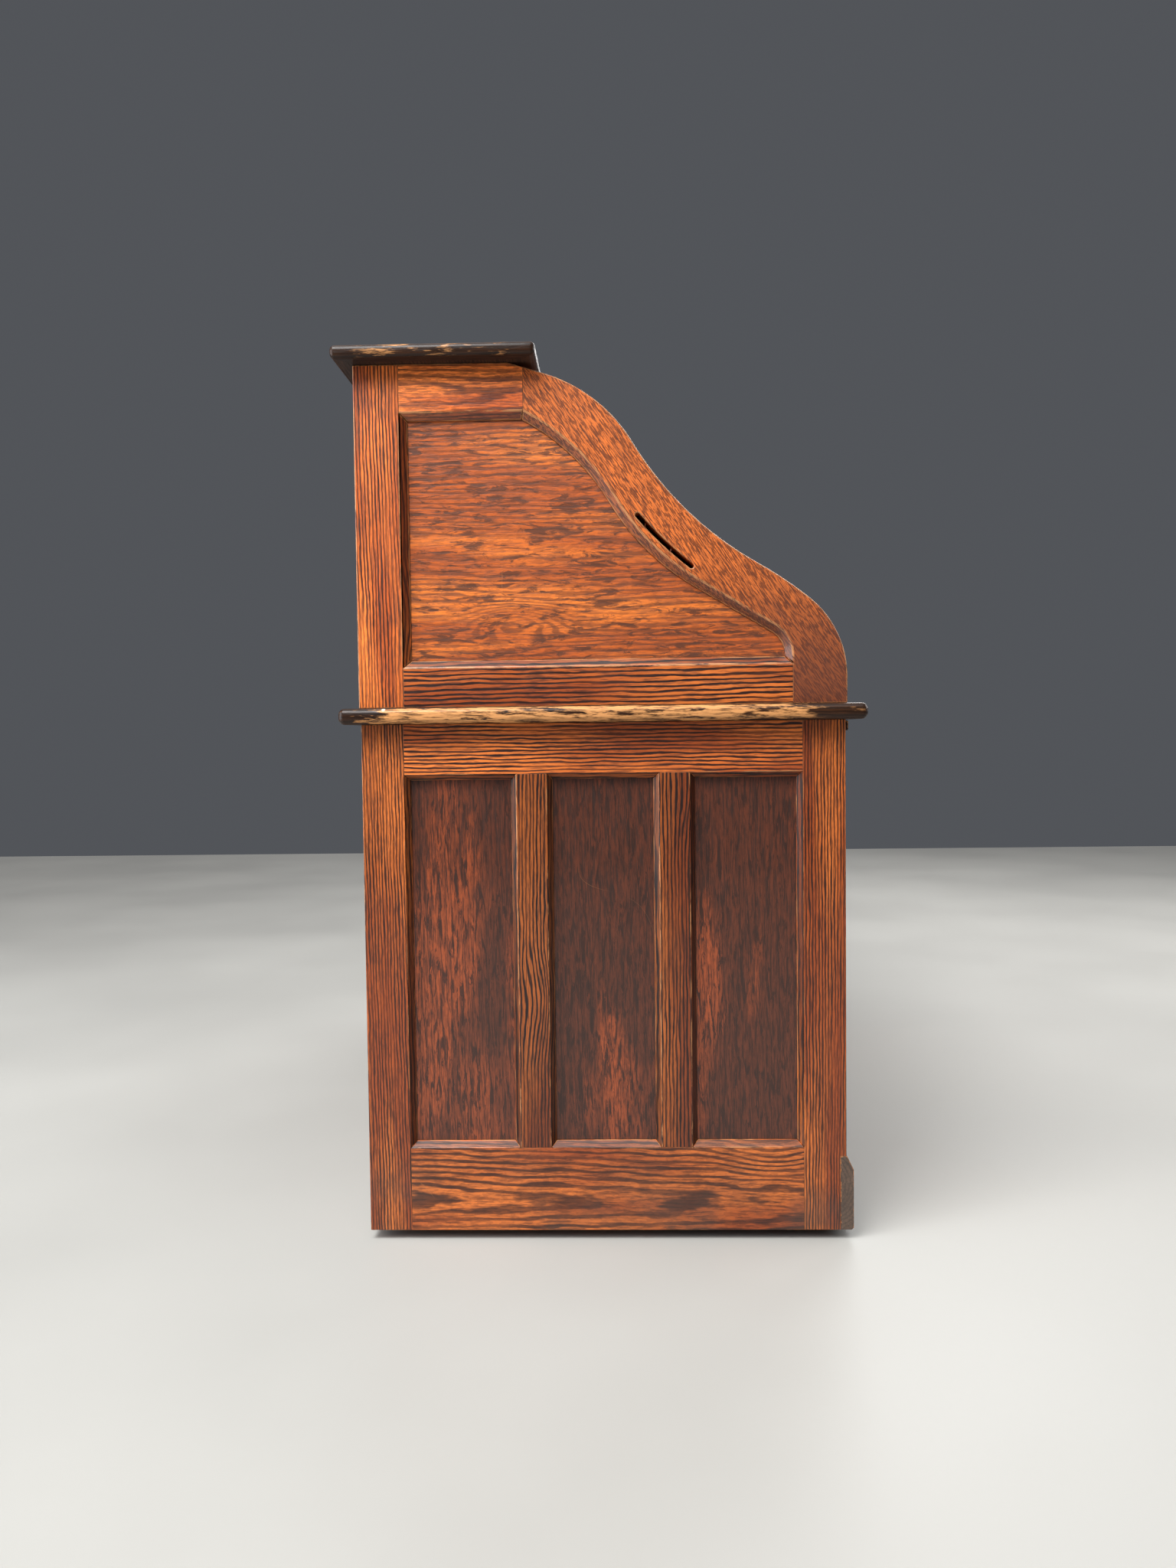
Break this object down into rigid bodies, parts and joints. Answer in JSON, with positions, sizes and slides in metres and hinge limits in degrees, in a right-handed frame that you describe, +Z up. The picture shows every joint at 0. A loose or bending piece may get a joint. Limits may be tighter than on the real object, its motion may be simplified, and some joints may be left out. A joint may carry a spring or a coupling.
{
  "type": "roll top desk",
  "caption": "Oak roll top desk with an S-shaped slatted roll, panelled ends, two drawer pedestals, a kneehole, pull-out writing slides and a gallery of pigeonholes.",
  "frame": {"origin": "middle of the footprint, on the floor under the glides", "axes": "+X to the right of the person sitting at the desk, +Y towards the back, +Z up"},
  "size_m": [1.384, 0.748, 1.282],
  "materials": {
    "case_oak": "varnished",
    "panel_oak": "varnished",
    "top_oak": "gloss varnish, worn edges",
    "plinth_oak": "worn",
    "inner_oak": "plain",
    "drawer_oak": "varnished",
    "roll_oak": "varnished",
    "knob_oak": "gloss varnish",
    "brass": "aged",
    "iron": "dark"
  },
  "bodies": {
    "case": {"left_end_frame": "case_oak", "right_end_frame": "case_oak", "end_panels": "panel_oak", "lower_back_frame": "case_oak", "lower_back_panels": "panel_oak", "kneehole_sides": "case_oak", "left_dust_boards": "inner_oak", "right_dust_boards": "inner_oak", "plinths": "plinth_oak", "glides": "iron", "centre_cleats": "inner_oak", "writing_top": "top_oak", "left_gable": "case_oak", "right_gable": "case_oak", "gable_panels": "panel_oak", "upper_back_frame": "case_oak", "upper_back_panels": "panel_oak", "top_board": "top_oak", "gallery_case": "inner_oak", "gallery_back_board": "inner_oak", "gallery_partitions": "inner_oak", "gallery_shelves": "inner_oak"},
    "left_drawer_1": {"left_drawer_1": "drawer_oak", "left_knobs_1": "knob_oak"},
    "left_drawer_2": {"left_drawer_2": "drawer_oak", "left_knobs_2": "knob_oak"},
    "left_drawer_3": {"left_drawer_3": "drawer_oak", "left_knobs_3": "knob_oak"},
    "left_drawer_4": {"left_drawer_4": "drawer_oak", "left_knobs_4": "knob_oak"},
    "right_drawer_1": {"right_drawer_1": "drawer_oak", "right_knobs_1": "knob_oak"},
    "right_drawer_2": {"right_drawer_2": "drawer_oak", "right_knobs_2": "knob_oak"},
    "right_drawer_3": {"right_drawer_3": "drawer_oak", "right_knobs_3": "knob_oak"},
    "centre_drawer": {"centre_drawer": "drawer_oak", "centre_knobs": "knob_oak"},
    "left_writing_slide": {"left_writing_slide": "top_oak"},
    "right_writing_slide": {"right_writing_slide": "top_oak"},
    "gallery_drawer_left": {"gallery_drawer_left": "drawer_oak", "gallery_knob_left": "brass"},
    "gallery_drawer_right": {"gallery_drawer_right": "drawer_oak", "gallery_knob_right": "brass"},
    "lift_rail": {"lift_rail": "roll_oak", "lift_knobs": "knob_oak", "roll_lock": "brass"},
    "slats_1": {"slats_1": "roll_oak"},
    "slats_2": {"slats_2": "roll_oak"},
    "slats_3": {"slats_3": "roll_oak"},
    "slats_4": {"slats_4": "roll_oak"},
    "slats_5": {"slats_5": "roll_oak"},
    "slats_6": {"slats_6": "roll_oak"},
    "slats_7": {"slats_7": "roll_oak"},
    "slats_8": {"slats_8": "roll_oak"},
    "slats_9": {"slats_9": "roll_oak"},
    "slats_10": {"slats_10": "roll_oak"}
  },
  "joints": [
    {"name": "left_drawer_1_slide", "type": "slide", "parent": "case", "child": "left_drawer_1", "axis": [0, -1, 0], "range_m": [0, 0.42]},
    {"name": "left_drawer_2_slide", "type": "slide", "parent": "case", "child": "left_drawer_2", "axis": [0, -1, 0], "range_m": [0, 0.42]},
    {"name": "left_drawer_3_slide", "type": "slide", "parent": "case", "child": "left_drawer_3", "axis": [0, -1, 0], "range_m": [0, 0.42]},
    {"name": "left_drawer_4_slide", "type": "slide", "parent": "case", "child": "left_drawer_4", "axis": [0, -1, 0], "range_m": [0, 0.42]},
    {"name": "right_drawer_1_slide", "type": "slide", "parent": "case", "child": "right_drawer_1", "axis": [0, -1, 0], "range_m": [0, 0.42]},
    {"name": "right_drawer_2_slide", "type": "slide", "parent": "case", "child": "right_drawer_2", "axis": [0, -1, 0], "range_m": [0, 0.42]},
    {"name": "right_drawer_3_slide", "type": "slide", "parent": "case", "child": "right_drawer_3", "axis": [0, -1, 0], "range_m": [0, 0.42]},
    {"name": "centre_drawer_slide", "type": "slide", "parent": "case", "child": "centre_drawer", "axis": [0, -1, 0], "range_m": [0, 0.32]},
    {"name": "left_writing_slide_slide", "type": "slide", "parent": "case", "child": "left_writing_slide", "axis": [0, -1, 0], "range_m": [0, 0.33]},
    {"name": "right_writing_slide_slide", "type": "slide", "parent": "case", "child": "right_writing_slide", "axis": [0, -1, 0], "range_m": [0, 0.33]},
    {"name": "gallery_drawer_left_slide", "type": "slide", "parent": "case", "child": "gallery_drawer_left", "axis": [0, -1, 0], "range_m": [0, 0.1]},
    {"name": "gallery_drawer_right_slide", "type": "slide", "parent": "case", "child": "gallery_drawer_right", "axis": [0, -1, 0], "range_m": [0, 0.1]},
    {"name": "roll_lift", "type": "hinge", "parent": "case", "child": "lift_rail", "pos_m": [0, 0.25681, 0.63178], "axis": [-1, 0, 0], "range_deg": [0, 50.97]},
    {"name": "roll_slats_1", "type": "hinge", "parent": "case", "child": "slats_1", "pos_m": [0, 0.30245, 0.58763], "axis": [-1, 0, 0], "range_deg": [0, 46.48]},
    {"name": "roll_slats_2", "type": "hinge", "parent": "case", "child": "slats_2", "pos_m": [0, 0.4667, 0.38856], "axis": [-1, 0, 0], "range_deg": [0, 33.96]},
    {"name": "roll_slats_3", "type": "hinge", "parent": "case", "child": "slats_3", "pos_m": [0, 0.40302, 0.48136], "axis": [-1, 0, 0], "range_deg": [0, 38.64]},
    {"name": "roll_slats_4", "type": "hinge", "parent": "case", "child": "slats_4", "pos_m": [0, 0.20427, 0.80191], "axis": [-1, 0, 0], "range_deg": [0, 71.11]},
    {"name": "roll_slats_5", "type": "hinge", "parent": "case", "child": "slats_5", "pos_m": [0, 0.1208, 0.97673], "axis": [-1, 0, 0], "range_deg": [0, 118.51]},
    {"name": "roll_slats_6", "type": "hinge", "parent": "case", "child": "slats_6", "pos_m": [0, 0.10823, 1.0211], "axis": [-1, 0, 0], "range_deg": [0, 140.08]},
    {"name": "roll_slats_7", "type": "hinge", "parent": "case", "child": "slats_7", "pos_m": [0, 0.10732, 1.0285], "axis": [-1, 0, 0], "range_deg": [0, 144.22]},
    {"name": "roll_slats_8", "type": "hinge", "parent": "case", "child": "slats_8", "pos_m": [0, 0.10451, 1.02171], "axis": [-1, 0, 0], "range_deg": [0, 139.31]},
    {"name": "roll_slats_9", "type": "hinge", "parent": "case", "child": "slats_9", "pos_m": [0, 0.09072, 1.00167], "axis": [-1, 0, 0], "range_deg": [0, 127.87]},
    {"name": "roll_slats_10", "type": "hinge", "parent": "case", "child": "slats_10", "pos_m": [0, 0.05208, 0.96851], "axis": [-1, 0, 0], "range_deg": [0, 110.75]}
  ],
  "couplings": [
    {"joint": "roll_slats_1", "follows": "roll_lift", "ratio": 0.91161},
    {"joint": "roll_slats_2", "follows": "roll_lift", "ratio": 0.66614},
    {"joint": "roll_slats_3", "follows": "roll_lift", "ratio": 0.75785},
    {"joint": "roll_slats_4", "follows": "roll_lift", "ratio": 1.395},
    {"joint": "roll_slats_5", "follows": "roll_lift", "ratio": 2.3248},
    {"joint": "roll_slats_6", "follows": "roll_lift", "ratio": 2.7481},
    {"joint": "roll_slats_7", "follows": "roll_lift", "ratio": 2.8292},
    {"joint": "roll_slats_8", "follows": "roll_lift", "ratio": 2.733},
    {"joint": "roll_slats_9", "follows": "roll_lift", "ratio": 2.5086},
    {"joint": "roll_slats_10", "follows": "roll_lift", "ratio": 2.1726}
  ]
}
